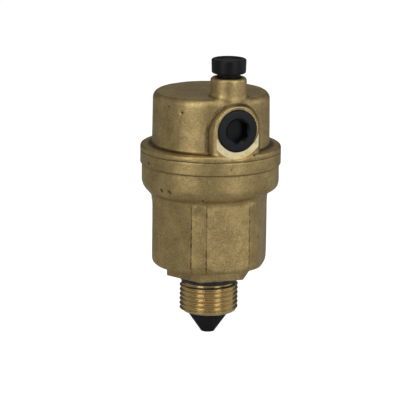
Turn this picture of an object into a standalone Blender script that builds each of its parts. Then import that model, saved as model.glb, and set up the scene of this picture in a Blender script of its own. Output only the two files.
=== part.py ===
"""Automatic air vent for a heating system: a float in a brass housing shuts a small valve when water rises.

Origin: centre of the O-ring seat recessed under the spanner hexagon. +Z runs up the housing's axis, the side port
faces -Y. Sizes below are in millimetres, and the mesh helpers turn them into metres.
"""

import math

import bmesh
import bpy
from mathutils import Vector

MM = 0.001

# Inlet nipple: a G 3/8 male thread, 19 turns to the inch
THREAD_R = 8.33
THREAD_ROOT_R = 7.475
THREAD_PITCH = 1.337
THREAD_TURNS = 6
THREAD_TOP_Z = -3.45
NIPPLE_END_Z = -11.1
NIPPLE_BORE_R = 5.3
NOSE_BORE_R = 6.6
NOSE_BORE_TOP_Z = -5.2
UNDERCUT_R = 6.05
INLET_SEAL_R = 7.08
INLET_SEAL_SECTION_R = 0.92
INLET_SEAL_Z = -0.95
SEAL_SEAT_R = 8.4
SEAL_SEAT_Z = 0.0

# Lower housing
SPANNER_APOTHEM = 11.0
SPANNER_CORNER_R = 12.7
SPANNER_TOP_Z = 2.0
SPANNER_BOTTOM_Z = -0.3
FLAT_CENTRE_DEG = 25.0
FLAT_APOTHEM = 15.34
LOWER_R = 16.6
FLAT_TOP_Z = 22.0
SHOULDER_TOP_Z = 27.4
BAND_R = 19.3
BAND_TOP_Z = 32.0
FLANGE_R = 19.85
SEAM_Z = 35.7
SEAM_GAP = 0.3
FLOOR_Z = 4.2
CHAMBER_R = 13.2
LEDGE_Z = 30.4
LEDGE_R = 14.7
MOUTH_R = 17.5

# Cover
SKIRT_R = 17.2
SKIRT_END_Z = 32.6
COVER_FLANGE_TOP_Z = 37.2
COVER_R = 16.35
COVER_BASE_R = 16.5
COVER_TOP_Z = 52.35
COVER_TOP_FILLET = 2.1
CEILING_Z = 49.2
CEILING_FILLET = 0.6
AIR_SPACE_R = 14.2
SKIRT_BORE_R = 14.9

# Vent boss on the cover, over the valve
VALVE_Y = -11.2
BOSS_R = 5.0
BOSS_RIM_FILLET = 1.1
BOSS_TOP_Z = 57.95
CAP_BORE_R = 3.55
CAP_BORE_FLOOR_Z = 53.4
AIR_CHANNEL_R = 1.0
SEAT_BORE_R = 2.35
SEAT_BORE_TOP_Z = 51.9

# Side port: pad, spot face, counterbore and threaded hole along -Y
PORT_Z = 43.85
PAD_FACE_Y = -18.45
PAD_FACE_HALF_WIDTH = 5.95
PAD_BASE_HALF_WIDTH = 7.7
SPOT_FACE_Y = -17.6
SPOT_FACE_R = 7.85
COUNTERBORE_R = 5.95
COUNTERBORE_FLOOR_Y = -15.7
PORT_HOLE_R = 5.1

# Float with ribbed tail and conical nose
FLOAT_R = 12.4
FLOAT_WALL = 1.1
FLOAT_BASE_Z = 5.0
FLOAT_FLOOR_Z = 6.3
FLOAT_RIM_Z = 35.0
LID_TOP_Z = 36.5
TAIL_R = 2.0
TAIL_RIB_R = 4.9
TAIL_RIB_THICKNESS = 1.0
TAIL_RIB_END_Z = -9.4
PEG_R = 1.4
PEG_END_Z = -12.5
NOSE_R = 5.95
NOSE_TOP_Z = -9.8
NOSE_CONE_TOP_Z = -11.1
NOSE_TIP_R = 1.8
NOSE_TIP_Z = -17.3

# Lever linkage
FLOAT_TRAVEL = 4.0
PIVOT_Y = -12.8
PIVOT_Z = 44.4
LEVER_ARM = -PIVOT_Y
LEVER_REST_RAD = -math.atan(FLOAT_TRAVEL / 2 / LEVER_ARM)
LEVER_HALF_WIDTH = 1.1
PIN_R = 0.5
PIN_HOLE_R = 0.62
LINK_Z = PIVOT_Z - FLOAT_TRAVEL / 2
BRACKET_BOTTOM_Z = 47.95
BRACKET_TOP_Z = 48.5
CHEEK_INNER_X = 2.7
CHEEK_OUTER_X = 3.5
SCREW_X = 4.4
SCREW_Y = -6.8

# Valve
NOZZLE_Z = 47.9
NOZZLE_R = 1.3
VALVE_LIFT = 0.5
VALVE_CLOSED_GAP = 0.05
SPRING_R = 2.0
SPRING_WIRE_R = 0.15
SPRING_TURNS = 4

# Screwed parts
CAP_R = 4.83
CAP_UNDERSIDE_Z = 59.0
CAP_TOP_Z = 63.05
CAP_NECK_R = 3.2
CAP_NECK_END_Z = 53.9
PLUG_R = 5.8
PLUG_FACE = 17.85
PLUG_END = 14.2
PLUG_THREAD_R = 4.8
PLUG_SOCKET_AF = 6.0

# Sides of a round piece, from pins to the housing
COARSE, MEDIUM, ROUND, FINE = 16, 24, 32, 48


def material(name, colour, metallic, roughness):
    made = bpy.data.materials.new(name)
    made.use_nodes = True
    shader = made.node_tree.nodes["Principled BSDF"]
    shader.inputs["Base Color"].default_value = (*colour, 1.0)
    shader.inputs["Metallic"].default_value = metallic
    shader.inputs["Roughness"].default_value = roughness
    made.diffuse_color = (*colour, 1.0)
    return made


def arc(centre, radius, start_deg, end_deg, steps=4):
    """Points of an arc in a profile or outline, from one angle to another."""
    angles = [math.radians(start_deg + (end_deg - start_deg) * i / steps) for i in range(steps + 1)]
    return [(centre[0] + radius * math.cos(a), centre[1] + radius * math.sin(a)) for a in angles]


def finished(name, mesh_builder, look):
    """Close the bmesh into a named object with outward faces, sharp edges and its material."""
    bmesh.ops.recalc_face_normals(mesh_builder, faces=mesh_builder.faces)
    mesh = bpy.data.meshes.new(name)
    mesh_builder.to_mesh(mesh)
    mesh_builder.free()
    mesh.shade_smooth()
    mesh.set_sharp_from_angle(angle=math.radians(30))
    piece = bpy.data.objects.new(name, mesh)
    bpy.context.scene.collection.objects.link(piece)
    if look:
        mesh.materials.append(look)
    return piece


def stacked(name, rings, look=None, loop=False):
    """Skin over a stack of point rings in millimetres; a ring of one point is a pole."""
    builder = bmesh.new()
    rows = [[builder.verts.new(Vector(p) * MM) for p in ring] for ring in rings]
    pairs = list(zip(rows, rows[1:]))
    if loop:
        pairs.append((rows[-1], rows[0]))
    for lower, upper in pairs:
        count = max(len(lower), len(upper))
        for i in range(count):
            j = (i + 1) % count
            corners = [lower[i % len(lower)], lower[j % len(lower)], upper[j % len(upper)], upper[i % len(upper)]]
            builder.faces.new(list(dict.fromkeys(corners)))
    if not loop:
        for row in (rows[0], rows[-1]):
            if len(row) > 1:
                builder.faces.new(row)
    return finished(name, builder, look)


def turned(name, profile, segments, look=None, phase_deg=0.0):
    """Solid of revolution about Z from (radius, z) or (radius, z, apothem) points.

    An apothem cuts that ring with six flats. A profile that starts and ends off the axis is a closed ring.
    """
    rings = []
    for radius, z, *apothem in profile:
        if radius == 0:
            rings.append([(0, 0, z)])
            continue
        ring = []
        for i in range(segments):
            turn = 360.0 * i / segments
            reach = radius
            if apothem:
                off_flat = math.radians((turn + 30.0) % 60.0 - 30.0)
                reach = min(radius, apothem[0] / math.cos(off_flat))
            angle = math.radians(turn + phase_deg)
            ring.append((reach * math.cos(angle), reach * math.sin(angle), z))
        rings.append(ring)
    return stacked(name, rings, look, loop=profile[0][0] > 0 and profile[-1][0] > 0)


def torus(name, ring_r, section_r, z, segments, section_points, look):
    profile = arc((ring_r, z), section_r, 0, 360, section_points)[:-1]
    return turned(name, profile, segments, look)


def extruded(name, outline, low, high, axis, look=None):
    """Prism of an outline along an axis: its points are (y, z) for X, (x, z) for Y and (x, y) for Z."""
    order = {"X": (2, 0, 1), "Y": (0, 2, 1), "Z": (0, 1, 2)}[axis]
    rings = []
    for level in (low, high):
        rings.append([tuple((*point, level)[k] for k in order) for point in outline])
    return stacked(name, rings, look)


def placed(piece, location, rotation=(0.0, 0.0, 0.0)):
    piece.location = Vector(location) * MM
    piece.rotation_euler = rotation
    return piece


def combined(target, tool, operation):
    """Boolean of a target with a tool, which stays in the scene as a wire guide."""
    tool.hide_render = True
    tool.display_type = "WIRE"
    step = target.modifiers.new(tool.name, "BOOLEAN")
    step.operation = operation
    step.object = tool
    step.solver = "EXACT"
    return target


def drill(target, name, steps, location, rotation=(0.0, 0.0, 0.0), segments=MEDIUM):
    """Cut a stepped round hole: each step is (radius, low, high) along the tool's own Z."""
    profile = [(0, steps[0][1])]
    for radius, low, high in steps:
        profile += [(radius, low), (radius, high)]
    profile.append((0, steps[-1][2]))
    tool = turned(name, profile, segments)
    return combined(target, placed(tool, location, rotation), "DIFFERENCE")


ALONG_MINUS_Y = (math.pi / 2, 0.0, 0.0)
ALONG_X = (0.0, math.pi / 2, 0.0)


def thread_profile():
    """Crest and root points of the inlet thread, from the top down."""
    points = [(THREAD_ROOT_R - 0.3, THREAD_TOP_Z + THREAD_PITCH)]
    for turn in range(THREAD_TURNS):
        crest_z = THREAD_TOP_Z - turn * THREAD_PITCH
        points.append((THREAD_R, crest_z))
        points.append((THREAD_ROOT_R, crest_z - THREAD_PITCH / 2))
    return points


def make_body(brass):
    outer = [
        (FLANGE_R, SEAM_Z - SEAM_GAP / 2),
        (FLANGE_R, BAND_TOP_Z),
        (BAND_R, BAND_TOP_Z - 0.1),
        (BAND_R - 0.05, SHOULDER_TOP_Z),
        *arc((16.9, 26.9), 2.3, 0, -45, 3),
    ]
    shoulder_foot = [(17.4, 23.65), (16.85, 23.1), (LOWER_R, 22.5)]
    flats = [
        (LOWER_R - 0.01, FLAT_TOP_Z, FLAT_APOTHEM),
        (LOWER_R - 0.12, 5.1, FLAT_APOTHEM),
        *[(r, z, FLAT_APOTHEM) for r, z in arc((13.35, 5.1), 3.13, -15, -80, 4)],
    ]
    hexagon = [
        (SPANNER_CORNER_R, SPANNER_TOP_Z, SPANNER_APOTHEM),
        (SPANNER_CORNER_R, SPANNER_BOTTOM_Z + 0.2, SPANNER_APOTHEM),
        (SPANNER_CORNER_R - 0.2, SPANNER_BOTTOM_Z, SPANNER_APOTHEM),
    ]
    nipple = [
        (SEAL_SEAT_R, SPANNER_BOTTOM_Z),
        (SEAL_SEAT_R, SEAL_SEAT_Z),
        (UNDERCUT_R, SEAL_SEAT_Z),
        (UNDERCUT_R, THREAD_TOP_Z + THREAD_PITCH),
        *thread_profile(),
        (THREAD_ROOT_R - 0.25, NIPPLE_END_Z),
        (NOSE_BORE_R, NIPPLE_END_Z),
        (NOSE_BORE_R, NOSE_BORE_TOP_Z),
        (NIPPLE_BORE_R, NOSE_BORE_TOP_Z + 1.0),
    ]
    chamber = [
        (NIPPLE_BORE_R, FLOOR_Z),
        (CHAMBER_R - 0.8, FLOOR_Z),
        (CHAMBER_R, FLOOR_Z + 0.8),
        (CHAMBER_R, 26.4),
        (LEDGE_R, 27.6),
        (LEDGE_R, LEDGE_Z),
        (MOUTH_R, LEDGE_Z),
        (MOUTH_R, SEAM_Z - SEAM_GAP / 2),
    ]
    turned("body", outer + shoulder_foot + flats + hexagon + nipple + chamber, FINE, brass, FLAT_CENTRE_DEG)


def pad_outline(half_width, arch_z):
    """The side port's U: straight sides from the flange up to a half-round top."""
    return [(-half_width, 36.4), (half_width, 36.4), *arc((0.0, arch_z), half_width, 0, 180, 13)]


def cover_shell(brass):
    fillet_r = COVER_R - COVER_TOP_FILLET
    fillet_z = COVER_TOP_Z - COVER_TOP_FILLET
    ceiling_r = AIR_SPACE_R - CEILING_FILLET
    outside = [
        (0, COVER_TOP_Z),
        *arc((fillet_r, fillet_z), COVER_TOP_FILLET, 90, 0, 5),
        (COVER_BASE_R, COVER_FLANGE_TOP_Z + 0.6),
        (COVER_BASE_R + 0.6, COVER_FLANGE_TOP_Z),
        *arc((FLANGE_R - 0.9, COVER_FLANGE_TOP_Z - 0.9), 0.9, 90, 0, 3),
        (FLANGE_R, SEAM_Z + SEAM_GAP / 2),
        (SKIRT_R, SEAM_Z + SEAM_GAP / 2),
        (SKIRT_R, SKIRT_END_Z),
    ]
    inside = [
        (SKIRT_BORE_R, SKIRT_END_Z),
        (SKIRT_BORE_R, 35.2),
        (AIR_SPACE_R, 36.0),
        *arc((ceiling_r, CEILING_Z - CEILING_FILLET), CEILING_FILLET, 0, 90, 2),
        (0, CEILING_Z),
    ]
    return turned("cover", outside + inside, FINE, brass, FLAT_CENTRE_DEG)


def make_cover(brass):
    cover = cover_shell(brass)
    rim = (BOSS_R - BOSS_RIM_FILLET, BOSS_TOP_Z - BOSS_RIM_FILLET)
    boss_profile = [(0, 50.6), (BOSS_R, 50.6), *arc(rim, BOSS_RIM_FILLET, 0, 90, 3), (0, BOSS_TOP_Z)]
    boss = placed(turned("boss_shape", boss_profile, ROUND), (0, VALVE_Y, 0))
    combined(cover, boss, "UNION")

    levels = (
        (PAD_FACE_Y, PAD_FACE_HALF_WIDTH, PORT_Z + 0.3),
        (PAD_FACE_Y + 0.7, PAD_FACE_HALF_WIDTH + 0.4, PORT_Z + 0.2),
        (-14.9, PAD_BASE_HALF_WIDTH, PORT_Z - 0.9),
    )
    rings = [[(x, y, z) for x, z in pad_outline(width, arch_z)] for y, width, arch_z in levels]
    combined(cover, stacked("pad_shape", rings), "UNION")

    vent_steps = (
        (SEAT_BORE_R, 48.0, SEAT_BORE_TOP_Z),
        (AIR_CHANNEL_R, SEAT_BORE_TOP_Z, CAP_BORE_FLOOR_Z),
        (CAP_BORE_R, CAP_BORE_FLOOR_Z, 60.0),
    )
    drill(cover, "vent_bore", vent_steps, (0, VALVE_Y, 0))
    port_steps = (
        (PORT_HOLE_R, 10.0, -COUNTERBORE_FLOOR_Y),
        (COUNTERBORE_R, -COUNTERBORE_FLOOR_Y, -SPOT_FACE_Y),
        (SPOT_FACE_R, -SPOT_FACE_Y, 22.0),
    )
    drill(cover, "port_bore", port_steps, (0, 0, PORT_Z), ALONG_MINUS_Y, 36)
    for side, x in (("left", -SCREW_X), ("right", SCREW_X)):
        drill(cover, f"screw_hole_{side}", [(1.1, 48.0, 51.2)], (x, SCREW_Y, 0), segments=COARSE)


def make_float(plastic):
    inner_r = FLOAT_R - FLOAT_WALL
    profile = [
        (0, PEG_END_Z),
        (PEG_R, PEG_END_Z),
        (PEG_R, TAIL_RIB_END_Z),
        (TAIL_R, TAIL_RIB_END_Z),
        (TAIL_R, FLOAT_BASE_Z),
        *arc((FLOAT_R - 1.5, FLOAT_BASE_Z + 1.5), 1.5, -90, 0, 3),
        (FLOAT_R, FLOAT_RIM_Z),
        (inner_r, FLOAT_RIM_Z),
        (inner_r, FLOAT_FLOOR_Z),
        (0, FLOAT_FLOOR_Z),
    ]
    shell = turned("float_shell", profile, ROUND, plastic)
    half = TAIL_RIB_THICKNESS / 2
    top = FLOAT_BASE_Z + 0.5
    rib_outline = [(-TAIL_RIB_R, TAIL_RIB_END_Z), (TAIL_RIB_R, TAIL_RIB_END_Z), (TAIL_RIB_R, top), (-TAIL_RIB_R, top)]
    combined(shell, extruded("rib_across", rib_outline, -half, half, "Y"), "UNION")
    combined(shell, extruded("rib_along", rib_outline, -half, half, "X"), "UNION")

    lid_profile = [
        (0, 35.3),
        (1.5, 35.3),
        (1.5, LID_TOP_Z),
        (FLOAT_R - 0.5, LID_TOP_Z),
        (FLOAT_R, LID_TOP_Z - 0.5),
        (FLOAT_R, FLOAT_RIM_Z + 0.3),
        (inner_r - 0.35, FLOAT_RIM_Z + 0.3),
        (inner_r - 0.35, 33.9),
        (inner_r - 1.3, 33.9),
        (inner_r - 1.3, FLOAT_RIM_Z),
        (3.0, FLOAT_RIM_Z),
        (3.0, 34.2),
        (0, 34.2),
    ]
    turned("float_lid", lid_profile, ROUND, plastic)


def make_nose(plastic):
    profile = [
        (0, PEG_END_Z - 0.3),
        (PEG_R + 0.3, PEG_END_Z - 0.3),
        (PEG_R + 0.3, NOSE_TOP_Z),
        (NOSE_R - 0.5, NOSE_TOP_Z),
        (NOSE_R, NOSE_TOP_Z - 0.6),
        (NOSE_R, NOSE_CONE_TOP_Z),
        (NOSE_TIP_R, NOSE_TIP_Z),
        (0, NOSE_TIP_Z),
    ]
    turned("float_nose", profile, ROUND, plastic)


def make_hanger(steel):
    """Forked clip on the float's lid that carries the link pin."""
    low, high = LID_TOP_Z + 0.3, LINK_Z + 1.1
    fork = [(-2.2, low), (2.2, low), (2.2, high), (1.4, high), (1.4, low + 0.8), (-1.4, low + 0.8), (-1.4, high)]
    fork.append((-2.2, high))
    hanger = extruded("float_hanger", fork, -1.3, 1.3, "Y", steel)
    peg = turned("hanger_peg", [(0, 35.6), (1.2, 35.6), (1.2, low + 0.4), (0, low + 0.4)], COARSE)
    combined(hanger, peg, "UNION")
    drill(hanger, "link_hole", [(PIN_HOLE_R, -4.0, 4.0)], (0, 0, LINK_Z), ALONG_X, COARSE)


def make_pin(name, half_length, location, steel):
    profile = [(0, -half_length), (PIN_R, -half_length), (PIN_R, half_length - 0.3)]
    profile += [(0.75, half_length - 0.3), (0.75, half_length), (0, half_length)]
    placed(turned(name, profile, COARSE, steel), location, ALONG_X)


def make_lever(steel):
    """Flat lever: pivot eye at its origin, slotted eye over the float."""
    far = LEVER_ARM + 0.08
    outline = [
        *arc((0.0, 0.0), 1.1, 30, 330, 10),
        *arc((far, 0.0), 1.2, -155, 155, 10),
    ]
    lever = extruded("lever", outline, -LEVER_HALF_WIDTH, LEVER_HALF_WIDTH, "X", steel)
    placed(lever, (0, PIVOT_Y, PIVOT_Z), (LEVER_REST_RAD, 0.0, 0.0))
    pivot_hole = extruded("lever_pivot_hole", arc((0.0, 0.0), PIN_HOLE_R, 0, 360, 12)[:-1], -2.0, 2.0, "X")
    slot_outline = arc((far + 0.12, 0.0), PIN_HOLE_R, -90, 90, 6) + arc((far - 0.12, 0.0), PIN_HOLE_R, 90, 270, 6)
    slot = extruded("lever_slot", slot_outline, -2.0, 2.0, "X")
    for tool in (pivot_hole, slot):
        placed(tool, (0, PIVOT_Y, PIVOT_Z), (LEVER_REST_RAD, 0.0, 0.0))
        combined(lever, tool, "DIFFERENCE")


def make_bracket(steel):
    """Plate under the cover's ceiling with two cheeks for the pivot pin."""
    plate_outline = [(-3.6, -13.3), (3.6, -13.3), (3.6, -9.2), (6.3, -8.8), (6.3, -4.9)]
    plate_outline += [(-6.3, -4.9), (-6.3, -8.8), (-3.6, -9.2)]
    bracket = extruded("lever_bracket", plate_outline, BRACKET_BOTTOM_Z, BRACKET_TOP_Z, "Z", steel)
    cheek = [(-11.0, 48.2), (-13.2, 48.2), *arc((PIVOT_Y, PIVOT_Z), 1.1, 180, 360, 6)]
    for name, side in (("cheek_left", -1), ("cheek_right", 1)):
        low, high = sorted((side * CHEEK_INNER_X, side * CHEEK_OUTER_X))
        combined(bracket, extruded(name, cheek, low, high, "X"), "UNION")
    drill(bracket, "pivot_hole", [(PIN_HOLE_R, -4.5, 4.5)], (0, PIVOT_Y, PIVOT_Z), ALONG_X, COARSE)
    drill(bracket, "spring_hole", [(2.4, 47.0, 49.5)], (0, VALVE_Y, 0))
    for side, x in (("left", -SCREW_X), ("right", SCREW_X)):
        drill(bracket, f"bracket_hole_{side}", [(1.15, 47.0, 49.5)], (x, SCREW_Y, 0), segments=COARSE)


def make_bracket_screws(steel):
    profile = [(0, 46.6), (1.6, 46.6), (1.9, 46.9), (1.9, 47.8), (0.9, 47.8), (0.9, 50.9), (0, 50.9)]
    for name, x in (("bracket_screw_left", -SCREW_X), ("bracket_screw_right", SCREW_X)):
        placed(turned(name, profile, COARSE, steel), (x, SCREW_Y, 0))


def make_valve(brass, steel, rubber):
    """Seat in the cover, and the stem with its rubber face and opening spring, all on the boss's axis."""
    axis = (0, VALVE_Y, 0)
    seat_profile = [
        (0.6, NOZZLE_Z),
        (NOZZLE_R, NOZZLE_Z),
        (NOZZLE_R, 48.6),
        (2.6, 48.6),
        (2.6, 49.05),
        (2.05, 49.05),
        (2.05, 50.3),
        (1.5, 50.3),
        (1.5, 51.0),
        (2.05, 51.0),
        (2.05, 51.7),
        (0.6, 51.7),
    ]
    placed(turned("valve_seat", seat_profile, COARSE, brass), axis)
    placed(torus("valve_seat_o_ring", 1.9, 0.3, 50.65, COARSE, 6, rubber), axis)

    face_z = NOZZLE_Z - VALVE_CLOSED_GAP - VALVE_LIFT
    seal_profile = [(0, face_z), (1.45, face_z), (1.45, 46.55), (0.6, 46.55), (0.6, 47.0), (0, 47.0)]
    placed(turned("valve_seal", seal_profile, COARSE, rubber), axis)

    stem_profile = [
        (0, 44.8),
        (0.4, 44.8),
        (0.8, 45.1),
        (0.8, 45.7),
        (2.3, 45.7),
        (2.3, 46.2),
        (1.2, 46.2),
        (1.2, 46.4),
        (0.45, 46.4),
        (0.45, 46.85),
        (0, 46.85),
    ]
    placed(turned("valve_stem", stem_profile, COARSE, brass), axis)
    make_spring("valve_spring", 46.42, 48.38, steel)


def make_spring(name, low_z, high_z, steel):
    """Compression spring: a round wire swept round a helix, with flat cut ends."""
    steps_per_turn, wire_points = 12, 6
    rings = []
    for i in range(SPRING_TURNS * steps_per_turn + 1):
        angle = math.tau * i / steps_per_turn
        z = low_z + (high_z - low_z) * i / (SPRING_TURNS * steps_per_turn)
        section = arc((SPRING_R, z), SPRING_WIRE_R, 0, 360, wire_points)[:-1]
        rings.append([(r * math.cos(angle), r * math.sin(angle), height) for r, height in section])
    placed(stacked(name, rings, steel), (0, VALVE_Y, 0))


def make_vent_cap(plastic, rubber):
    profile = [
        (0, 62.6),
        (3.3, 62.6),
        (3.7, CAP_TOP_Z - 0.05),
        *arc((CAP_R - 0.8, CAP_TOP_Z - 0.8), 0.8, 90, 0, 3),
        (CAP_R - 0.1, CAP_UNDERSIDE_Z + 0.4),
        (CAP_R - 0.45, CAP_UNDERSIDE_Z + 0.03),
        (CAP_NECK_R + 0.1, CAP_UNDERSIDE_Z),
        (CAP_NECK_R, 57.3),
        (2.6, 57.3),
        (2.6, 56.5),
        (CAP_NECK_R, 56.5),
        (CAP_NECK_R, CAP_NECK_END_Z),
        (1.5, CAP_NECK_END_Z),
        (1.5, 60.4),
        (0, 60.4),
    ]
    cap = placed(turned("vent_cap", profile, 36, plastic), (0, VALVE_Y, 0))
    outlet = [(-0.4, 2.8), (0.4, 2.8), (0.4, 3.8), (-0.4, 3.8)]
    groove = extruded("air_groove", outlet, 53.0, CAP_UNDERSIDE_Z - 0.15, "Z")
    combined(cap, placed(groove, (0, VALVE_Y, 0)), "DIFFERENCE")
    placed(torus("vent_cap_o_ring", 2.98, 0.33, 56.9, MEDIUM, 6, rubber), (0, VALVE_Y, 0))


def make_side_plug(plastic, rubber):
    """Screwed plug with a hexagon socket; its own Z is the port's axis, pointing out of the port."""
    head_back = 16.85
    profile = [
        (0, PLUG_END),
        (PLUG_THREAD_R - 0.3, PLUG_END),
        (PLUG_THREAD_R, PLUG_END + 0.3),
        (PLUG_THREAD_R, 15.5),
        (4.5, 15.65),
        (4.5, head_back),
        (PLUG_R, head_back),
        (PLUG_R, PLUG_FACE - 0.4),
        (PLUG_R - 0.4, PLUG_FACE),
        (0, PLUG_FACE),
    ]
    port = (0, 0, PORT_Z)
    plug = placed(turned("side_plug", profile, ROUND, plastic), port, ALONG_MINUS_Y)
    corner_r = PLUG_SOCKET_AF / 2 / math.cos(math.radians(30))
    socket = extruded("plug_socket", arc((0.0, 0.0), corner_r, 30, 330, 5), PLUG_FACE - 2.9, PLUG_FACE + 1, "Z")
    combined(plug, placed(socket, port, ALONG_MINUS_Y), "DIFFERENCE")
    placed(torus("side_plug_o_ring", 5.15, 0.48, 16.28, MEDIUM, 6, rubber), port, ALONG_MINUS_Y)


def main():
    for old in list(bpy.data.objects):
        bpy.data.objects.remove(old, do_unlink=True)
    brass = material("cast_brass", (0.34, 0.26, 0.12), 0.9, 0.5)
    turned_brass = material("turned_brass", (0.62, 0.45, 0.17), 1.0, 0.25)
    steel = material("stainless_steel", (0.55, 0.55, 0.55), 1.0, 0.3)
    plastic = material("black_plastic", (0.012, 0.012, 0.014), 0.0, 0.4)
    rubber = material("black_rubber", (0.015, 0.015, 0.017), 0.0, 0.7)

    make_body(brass)
    make_cover(brass)
    torus("cover_o_ring", 15.95, 0.85, 31.4, ROUND, 6, rubber)
    torus("nipple_o_ring", INLET_SEAL_R, INLET_SEAL_SECTION_R, INLET_SEAL_Z, ROUND, 8, rubber)
    make_float(plastic)
    make_nose(plastic)
    make_hanger(steel)
    make_pin("link_pin", 2.6, (0, 0, LINK_Z), steel)
    make_lever(steel)
    make_pin("pivot_pin", 3.9, (0, PIVOT_Y, PIVOT_Z), steel)
    make_bracket(steel)
    make_bracket_screws(steel)
    make_valve(turned_brass, steel, rubber)
    make_vent_cap(plastic, rubber)
    make_side_plug(plastic, rubber)


main()
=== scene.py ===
"""Looks of the automatic air vent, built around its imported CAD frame. Shapes are in millimetres until meshed."""

import math

import bmesh
import bpy
import numpy as np
from mathutils import Matrix, Quaternion, Vector


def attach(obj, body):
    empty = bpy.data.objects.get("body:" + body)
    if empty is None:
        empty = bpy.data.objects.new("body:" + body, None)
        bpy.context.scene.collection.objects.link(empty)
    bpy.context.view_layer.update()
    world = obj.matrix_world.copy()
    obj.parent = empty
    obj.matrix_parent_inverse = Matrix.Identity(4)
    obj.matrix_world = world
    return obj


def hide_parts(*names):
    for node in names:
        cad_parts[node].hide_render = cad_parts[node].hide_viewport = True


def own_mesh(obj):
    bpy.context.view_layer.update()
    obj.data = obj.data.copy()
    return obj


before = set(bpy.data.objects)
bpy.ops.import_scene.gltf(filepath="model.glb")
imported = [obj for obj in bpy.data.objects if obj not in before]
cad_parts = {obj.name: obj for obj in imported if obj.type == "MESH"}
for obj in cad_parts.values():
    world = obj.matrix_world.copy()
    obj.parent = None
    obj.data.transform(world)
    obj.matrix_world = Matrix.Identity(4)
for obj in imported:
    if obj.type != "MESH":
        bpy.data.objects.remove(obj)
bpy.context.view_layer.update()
MM = 0.001

# Direction of one flat's middle, and of every sixth of a turn from it
FLAT_CENTRE = math.radians(25.0)
# Underside and top of the seam between the two castings
SEAM_LOW, SEAM_HIGH = 35.46, 35.58
FLANGE_R = 19.76
BAND_R = 19.3
LOWER_R = 16.6
# The barrel and shoulder run up to here, inside the flange
LOWER_TOP_Z = 33.0
FLAT_APOTHEM = 15.34
HEXAGON_APOTHEM = 11.0
HEXAGON_CORNER_R = 12.7
COVER_TOP_Z = 52.35
COVER_WALL_R = 16.5
BOSS_R = 5.0
BOSS_TOP_Z = 57.95
VALVE_Y = -11.2
# Side port: its axis lies along -Y at this height
PORT_Z = 43.85
SPOT_FACE_Y = -17.6
SPOT_FACE_R = 7.85
PAD_FACE_Y = -18.45
PLUG_R = 5.8
PLUG_FACE = 17.85
CAP_R = 4.83
CAP_LOW_Z, CAP_TOP_Z = 59.0, 63.05
# Inlet thread: crest to crest, and the radii of its crests and roots
PITCH = 1.337
CREST_R, ROOT_R = 8.28, 7.6
SPRING_LOW_Z, SPRING_HIGH_Z = 46.42, 48.38
SPRING_R, SPRING_WIRE_R = 2.0, 0.15
FLOOR_Z = -17.32
# Size of a cell when a distance field is meshed, and the box round both castings
GRID = 0.25
GRID_REACH = 20.6
# Points of a noise lattice along each axis, after which it repeats
LATTICE = 32


# ---------------------------------------------------------------- distance fields


def smooth_min(a, b, blend):
    """Union of two fields with a fillet where they are closer than the blend."""
    near = np.maximum(blend - np.abs(a - b), 0.0) / blend
    return np.minimum(a, b) - near * near * blend * 0.25


def smooth_max(a, b, blend):
    """Intersection of two fields with an edge rounded by the blend."""
    return -smooth_min(-a, -b, blend)


def closeness(a, b, reach):
    """1 where two surfaces meet, falling to 0 at the reach."""
    return np.maximum(reach - np.abs(a - b), 0.0) / reach * (np.maximum(np.abs(a), np.abs(b)) < 1.5 * reach)


def rounded(side, end, radius):
    """Solid inside two surfaces that meet in an edge of this radius."""
    s, e = side + radius, end + radius
    return np.hypot(np.maximum(s, 0.0), np.maximum(e, 0.0)) + np.minimum(np.maximum(s, e), 0.0) - radius


def six_flats(x, y, apothem):
    """Hexagonal prism without ends, lined up with the body's flats."""
    reach = None
    for turn in range(3):
        angle = FLAT_CENTRE + turn * math.pi / 3
        along = np.abs(x * math.cos(angle) + y * math.sin(angle))
        reach = along if reach is None else np.maximum(reach, along)
    return reach - apothem


def ledge_height(x):
    """Height at which the flats end under the shoulder, which is a little uneven."""
    return 23.95 + 0.025 * x + 0.03 * np.clip(x, 0.0, 16.0)


def body_parts(x, y, z):
    """Fields of the lower housing's flange, shoulder, barrel, flats and spanner hexagon."""
    r = np.hypot(x, y)
    flange = rounded(r - FLANGE_R, np.abs(z - SEAM_LOW + 1.8) - 1.8, 0.2)
    slope = (r - 18.84) * 0.768 - (z - 25.27) * 0.640
    shoulder = np.maximum(smooth_max(r - BAND_R, slope, 0.9), z - LOWER_TOP_Z)
    # the barrel's bottom edge is sharper on the right, and a little higher there and in front
    right, front = np.clip(x, 0.0, 16.0), np.clip(-y, 0.0, 16.0)
    bottom_z, edge_r = 2.35 + 0.02 * (right + front), 2.7 - 0.085 * right
    barrel = np.maximum(rounded(r - LOWER_R, bottom_z - z, edge_r), z - LOWER_TOP_Z)
    # the space beside each flat, which ends in a ledge under the shoulder
    flats = smooth_min(six_flats(x, y, FLAT_APOTHEM), ledge_height(x) - z, 1.9)
    corners = smooth_max(six_flats(x, y, HEXAGON_APOTHEM), r - HEXAGON_CORNER_R, 0.3)
    hexagon = np.maximum(rounded(corners, -0.3 - z, 0.25), z - 6.0)
    return flange, shoulder, barrel, flats, hexagon


def body_field(x, y, z):
    """The lower housing, with softer edges between barrel and flats at their ends."""
    flange, shoulder, barrel, flats, hexagon = body_parts(x, y, z)
    edge = 0.28 + 0.4 * np.clip((6.0 - z) / 3.0, 0.0, 1.0) + 0.9 * np.clip((z - 22.3) / 0.8, 0.0, 1.0)
    lower = smooth_max(smooth_min(barrel, shoulder, 2.0), flats, edge)
    return smooth_min(smooth_min(lower, hexagon, 0.8), flange, 0.3)


def body_crease_shade(x, y, z):
    """Painted shade: how much darker the lower housing is in its creases, from 0 to about 1."""
    flange, shoulder, barrel, flats, hexagon = body_parts(x, y, z)
    return np.maximum.reduce(
        [
            0.8 * closeness(smooth_max(barrel, flats, 0.3), hexagon, 0.6),
            0.9 * closeness(shoulder, flange, 0.55),
        ]
    )


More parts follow.
